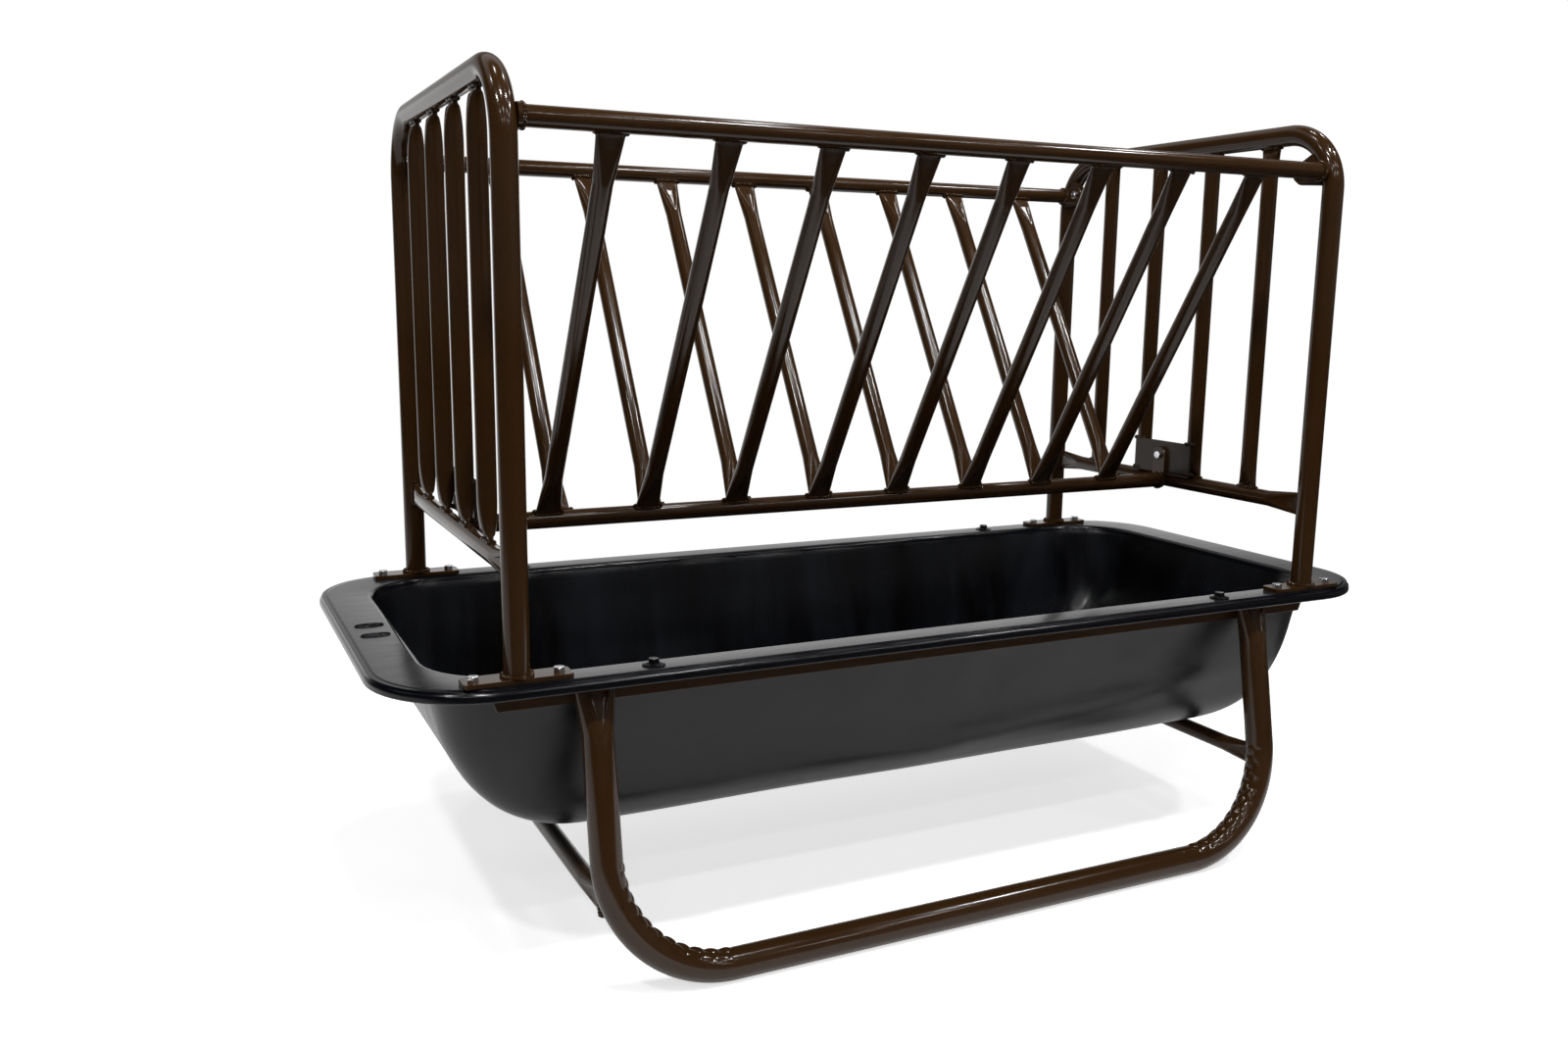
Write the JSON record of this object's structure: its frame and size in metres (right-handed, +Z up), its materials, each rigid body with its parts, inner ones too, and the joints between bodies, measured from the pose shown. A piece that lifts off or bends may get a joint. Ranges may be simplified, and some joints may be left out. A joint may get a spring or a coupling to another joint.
{
  "type": "goat hay rack",
  "caption": "V-shaped tube hay rack between two hoop end frames over a long moulded feed trough, standing on two splayed skid legs.",
  "frame": {"origin": "on the ground, under the middle of the trough", "axes": "+X along the trough, +Y across it, +Z up"},
  "size_m": [1.604, 0.805, 1.1405],
  "materials": {
    "brown_powder_coat": "gloss",
    "black_polyethylene": "matte",
    "zinc_plated_steel": "satin",
    "black_oxide_steel": "matte"
  },
  "bodies": {
    "root": {"trough": "black_polyethylene", "rim_angle_front": "brown_powder_coat", "rim_angle_rear": "brown_powder_coat", "leg_tube_front": "brown_powder_coat", "leg_tube_rear": "brown_powder_coat", "cross_tube_left": "brown_powder_coat", "cross_tube_right": "brown_powder_coat", "end_hoop_left": "brown_powder_coat", "end_hoop_right": "brown_powder_coat", "end_rail_left": "brown_powder_coat", "end_rail_right": "brown_powder_coat", "rack_plate_left": "brown_powder_coat", "rack_plate_right": "brown_powder_coat", "end_picket_left_1": "brown_powder_coat", "end_picket_left_2": "brown_powder_coat", "end_picket_left_3": "brown_powder_coat", "end_picket_left_4": "brown_powder_coat", "end_picket_right_1": "brown_powder_coat", "end_picket_right_2": "brown_powder_coat", "end_picket_right_3": "brown_powder_coat", "end_picket_right_4": "brown_powder_coat", "rack_rail_front": "brown_powder_coat", "rack_rail_rear": "brown_powder_coat", "rack_rail_floor": "brown_powder_coat", "rack_picket_front_1": "brown_powder_coat", "rack_picket_front_2": "brown_powder_coat", "rack_picket_front_3": "brown_powder_coat", "rack_picket_front_4": "brown_powder_coat", "rack_picket_front_5": "brown_powder_coat", "rack_picket_front_6": "brown_powder_coat", "rack_picket_front_7": "brown_powder_coat", "rack_picket_front_8": "brown_powder_coat", "rack_picket_rear_1": "brown_powder_coat", "rack_picket_rear_2": "brown_powder_coat", "rack_picket_rear_3": "brown_powder_coat", "rack_picket_rear_4": "brown_powder_coat", "rack_picket_rear_5": "brown_powder_coat", "rack_picket_rear_6": "brown_powder_coat", "rack_picket_rear_7": "brown_powder_coat", "rack_picket_rear_8": "brown_powder_coat", "foot_bolt_front_left_outer": "zinc_plated_steel", "foot_bolt_front_left_inner": "zinc_plated_steel", "foot_bolt_front_right_outer": "zinc_plated_steel", "foot_bolt_front_right_inner": "zinc_plated_steel", "foot_bolt_rear_left_outer": "zinc_plated_steel", "foot_bolt_rear_left_inner": "zinc_plated_steel", "foot_bolt_rear_right_outer": "zinc_plated_steel", "foot_bolt_rear_right_inner": "zinc_plated_steel", "rack_bolt_front_left": "zinc_plated_steel", "rack_bolt_front_right": "zinc_plated_steel", "rack_bolt_rear_left": "zinc_plated_steel", "rack_bolt_rear_right": "zinc_plated_steel", "rack_bolt_floor_left": "zinc_plated_steel", "rack_bolt_floor_right": "zinc_plated_steel", "rim_bolt_front_left": "black_oxide_steel", "rim_bolt_front_right": "black_oxide_steel", "rim_bolt_rear_left": "black_oxide_steel", "rim_bolt_rear_right": "black_oxide_steel"}
  },
  "joints": []
}
